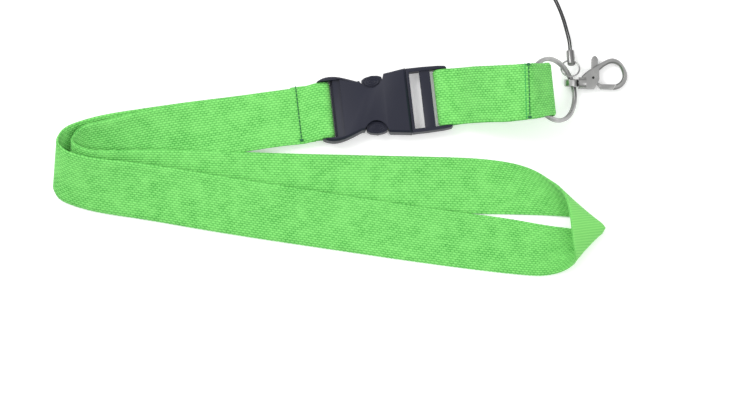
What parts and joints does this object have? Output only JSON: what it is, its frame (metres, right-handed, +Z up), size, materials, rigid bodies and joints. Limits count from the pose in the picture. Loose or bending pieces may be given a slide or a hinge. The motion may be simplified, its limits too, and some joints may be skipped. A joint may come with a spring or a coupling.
{
  "type": "lanyard",
  "caption": "Flat webbing neck lanyard with a side-release buckle, short strap, split ring, swivel trigger hook and a thin cord loop on a jump ring.",
  "frame": {"origin": "on the table plane, midway along and across the laid-out lanyard without its cord loop", "axes": "+X runs to the right from the strap's left bend towards the hook, +Y is the side of the buckle, +Z is up from the table"},
  "size_m": [0.2021, 0.1159, 0.0225],
  "materials": {
    "webbing": "woven lime green polyester webbing",
    "thread": "dark green sewing thread",
    "buckle_plastic": "blue-black moulded plastic, satin",
    "plated_steel": "nickel-plated steel, satin",
    "cord": "thin black braided cord"
  },
  "bodies": {
    "neck_side": {"neck_strap": "webbing", "neck_strap_stitches": "thread", "buckle_female": "buckle_plastic"},
    "male_half": {"buckle_male_frame": "buckle_plastic", "short_strap_run": "webbing"},
    "prong_left": {"prong_left": "buckle_plastic"},
    "prong_right": {"prong_right": "buckle_plastic"},
    "strap_end": {"short_strap_pocket": "webbing", "short_strap_stitches": "thread"},
    "ring": {"split_ring": "plated_steel"},
    "swivel": {"swivel_eye": "plated_steel"},
    "hook": {"hook_body": "plated_steel", "hook_lever_pin": "plated_steel"},
    "lever": {"hook_lever": "plated_steel"},
    "jump_ring": {"jump_ring": "plated_steel"},
    "cord_end": {"cord_crimp": "plated_steel", "phone_cord": "cord"}
  },
  "joints": [
    {"name": "buckle_release", "type": "slide", "parent": "neck_side", "child": "male_half", "axis": [0.9936, 0.1132, 0], "range_m": [0, 0.024], "deforming": ["prong_left", "prong_right"]},
    {"name": "prong_left_squeeze", "type": "hinge", "parent": "male_half", "child": "prong_left", "pos_m": [0.02242, 0.0296, 0.0033], "axis": [0, 0, 1], "range_deg": [0, 8], "stiffness_Nm_per_rad": 0.02},
    {"name": "prong_right_squeeze", "type": "hinge", "parent": "male_half", "child": "prong_right", "pos_m": [0.02428, 0.0133, 0.0033], "axis": [0, 0, 1], "range_deg": [-8, 0], "stiffness_Nm_per_rad": 0.02},
    {"name": "short_strap_flex", "type": "hinge", "parent": "male_half", "child": "strap_end", "pos_m": [0.0602, 0.0225, 0.0182], "axis": [0, 1, 0], "range_deg": [-25, 25]},
    {"name": "ring_turn", "type": "hinge", "parent": "strap_end", "child": "ring", "pos_m": [0.0752, 0.0245, 0.01075], "axis": [0.7359, 0.1034, 0.6691], "range_deg": [-50, 10]},
    {"name": "hook_swing", "type": "hinge", "parent": "ring", "child": "swivel", "pos_m": [0.08188, 0.02842, 0.0028], "axis": [-0.3101, 0.93, 0.1973], "range_deg": [-60, 10]},
    {"name": "hook_swivel", "type": "hinge", "parent": "swivel", "child": "hook", "pos_m": [0.08158, 0.02842, 0.0028], "axis": [0.9969, 0, -0.0785], "continuous": true},
    {"name": "lever_press", "type": "hinge", "parent": "hook", "child": "lever", "pos_m": [0.08926, 0.03022, 0.00219], "axis": [0.0785, 0, 0.9969], "range_deg": [0, 25], "stiffness_Nm_per_rad": 0.01},
    {"name": "jump_ring_swing", "type": "hinge", "parent": "ring", "child": "jump_ring", "pos_m": [0.07963, 0.03262, 0.00462], "axis": [-0.5468, 0.6736, 0.4973], "range_deg": [-8, 8]},
    {"name": "crimp_swing", "type": "hinge", "parent": "jump_ring", "child": "cord_end", "pos_m": [0.08155, 0.03626, 0.00341], "axis": [1, 0, 0], "range_deg": [-10, 30]}
  ]
}
